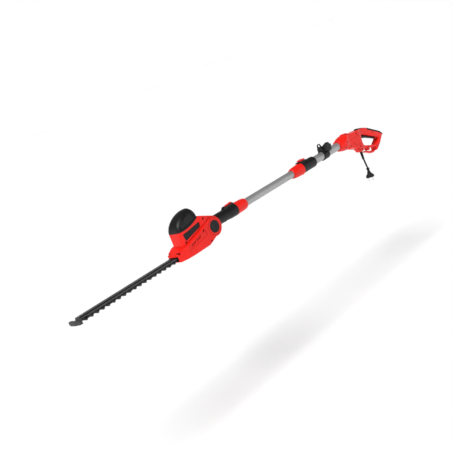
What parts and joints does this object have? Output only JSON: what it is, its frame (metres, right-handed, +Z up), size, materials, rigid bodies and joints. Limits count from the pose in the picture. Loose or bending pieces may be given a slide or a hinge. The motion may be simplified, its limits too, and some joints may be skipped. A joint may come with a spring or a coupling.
{
  "type": "pole hedge trimmer",
  "caption": "Corded pole hedge trimmer: tilting motor head with double-edged reciprocating blade, telescopic tube with strap clamp, D-shaped rear handle with trigger and short mains lead.",
  "frame": {"origin": "middle of the rear handle's grip bar, on the parting plane of the shells", "axes": "+X along the pole towards the rear handle, so the blade points to -X; +Z up, on the side of the motor cap; -Y is the side of the tilt release button"},
  "size_m": [1.8886, 0.0912, 0.3252],
  "materials": {
    "red_plastic": "glossy red moulded plastic",
    "black_plastic": "fine textured black plastic",
    "tube_aluminium": "satin drawn aluminium",
    "blade_steel": "blackened steel blade with ground edges",
    "bright_steel": "turned steel",
    "guard_grey": "mid grey moulded guard",
    "soft_rubber": "soft black rubber",
    "copper": "copper",
    "white_nylon": "natural nylon",
    "lamination": "laminated iron",
    "cast_alloy": "die-cast alloy",
    "black_screw": "black oxide screws",
    "pin_metal": "nickel-plated pins"
  },
  "bodies": {
    "rear_handle": {"handle_shell_left": "red_plastic", "handle_shell_right": "red_plastic", "handle_screws": "black_screw", "grip_pad": "soft_rubber", "upper_tube": "tube_aluminium", "telescope_sleeve": "black_plastic", "switch_module": "black_plastic", "capacitor": "white_nylon", "terminal_block": "white_nylon", "cord_clamp": "black_plastic", "cord_hook": "red_plastic", "hook_lug": "red_plastic", "cord_gland": "soft_rubber", "power_cord": "soft_rubber", "plug_body": "soft_rubber", "plug_pins": "pin_metal"},
    "trigger": {"trigger": "black_plastic"},
    "lock_off_button": {"lock_off_button": "black_plastic"},
    "telescope_collar": {"telescope_collar": "red_plastic"},
    "telescope_button": {"telescope_button": "red_plastic"},
    "strap_clamp": {"strap_clamp": "black_plastic", "clamp_bolt": "bright_steel"},
    "clamp_knob": {"clamp_knob": "black_plastic"},
    "lower_pole": {"lower_tube": "tube_aluminium", "inner_bush": "white_nylon", "neck_shell_left": "black_plastic", "neck_shell_right": "black_plastic", "neck_screws": "black_screw", "pivot_pin": "bright_steel"},
    "head_collar": {"head_collar": "red_plastic"},
    "head_button": {"head_button": "red_plastic"},
    "head": {"head_shell_left": "red_plastic", "head_shell_right": "red_plastic", "motor_cap": "black_plastic", "label_plates": "black_plastic", "head_screws": "black_screw", "pivot_cover": "black_plastic", "blade_guide": "black_plastic", "blade_bar": "blade_steel", "tip_guard": "guard_grey", "guard_rivets": "bright_steel", "blade_bolts": "black_screw", "motor_field": "lamination", "motor_brushes": "lamination", "motor_bearings": "bright_steel", "brush_bridge": "white_nylon", "gearbox_plate": "cast_alloy", "crank_axle": "bright_steel"},
    "tilt_button": {"tilt_button": "black_plastic"},
    "rotor": {"motor_shaft": "bright_steel", "armature_core": "copper", "commutator": "copper", "cooling_fan": "white_nylon", "drive_pinion": "bright_steel"},
    "crank": {"crank_gear": "bright_steel"},
    "upper_blade": {"upper_blade": "blade_steel"},
    "lower_blade": {"lower_blade": "blade_steel"}
  },
  "joints": [
    {"name": "telescope", "type": "slide", "parent": "rear_handle", "child": "lower_pole", "axis": [-1, 0, 0], "range_m": [0, 0.24]},
    {"name": "head_tilt", "type": "hinge", "parent": "lower_pole", "child": "head", "pos_m": [-1.13, 0, 0.014], "axis": [0, 1, 0], "range_deg": [-75, 60]},
    {"name": "trigger_pull", "type": "hinge", "parent": "rear_handle", "child": "trigger", "pos_m": [0.033, 0, -0.0275], "axis": [0, 1, 0], "range_deg": [0, 5.5], "stiffness_Nm_per_rad": 4, "springref_deg": -2.86},
    {"name": "lock_off_press", "type": "slide", "parent": "rear_handle", "child": "lock_off_button", "axis": [0, 0, -1], "range_m": [0, 0.003], "stiffness_N_per_m": 700, "springref_m": -0.002},
    {"name": "telescope_button_press", "type": "slide", "parent": "rear_handle", "child": "telescope_button", "axis": [0, 0, -1], "range_m": [0, 0.002], "stiffness_N_per_m": 700, "springref_m": -0.002},
    {"name": "telescope_collar_twist", "type": "hinge", "parent": "rear_handle", "child": "telescope_collar", "pos_m": [-0.558, 0, 0.018], "axis": [1, 0, 0], "range_deg": [0, 90]},
    {"name": "head_button_press", "type": "slide", "parent": "lower_pole", "child": "head_button", "axis": [0, 0, -1], "range_m": [0, 0.003], "stiffness_N_per_m": 700, "springref_m": -0.002},
    {"name": "head_collar_twist", "type": "hinge", "parent": "lower_pole", "child": "head_collar", "pos_m": [-0.934, 0, 0.018], "axis": [1, 0, 0], "range_deg": [0, 90]},
    {"name": "tilt_button_press", "type": "slide", "parent": "head", "child": "tilt_button", "axis": [0, 1, 0], "range_m": [0, 0.0038], "stiffness_N_per_m": 700, "springref_m": -0.002},
    {"name": "clamp_slide", "type": "slide", "parent": "rear_handle", "child": "strap_clamp", "axis": [1, 0, 0], "range_m": [-0.055, 0.075]},
    {"name": "clamp_knob_turn", "type": "hinge", "parent": "strap_clamp", "child": "clamp_knob", "pos_m": [-0.35, -0.031, 0.048], "axis": [0, 1, 0], "continuous": true},
    {"name": "motor_spin", "type": "hinge", "parent": "head", "child": "rotor", "pos_m": [-1.242, 0, 0.038], "axis": [0, 0, 1], "continuous": true},
    {"name": "crank_spin", "type": "hinge", "parent": "head", "child": "crank", "pos_m": [-1.277, 0, -0.022], "axis": [0, 0, 1], "continuous": true},
    {"name": "upper_blade_stroke", "type": "slide", "parent": "head", "child": "upper_blade", "axis": [1, 0, 0], "range_m": [-0.006, 0.006]},
    {"name": "lower_blade_stroke", "type": "slide", "parent": "head", "child": "lower_blade", "axis": [1, 0, 0], "range_m": [-0.006, 0.006]}
  ],
  "couplings": [
    {"joint": "crank_spin", "follows": "motor_spin", "ratio": -0.16667},
    {"joint": "lower_blade_stroke", "follows": "upper_blade_stroke", "ratio": -1}
  ]
}
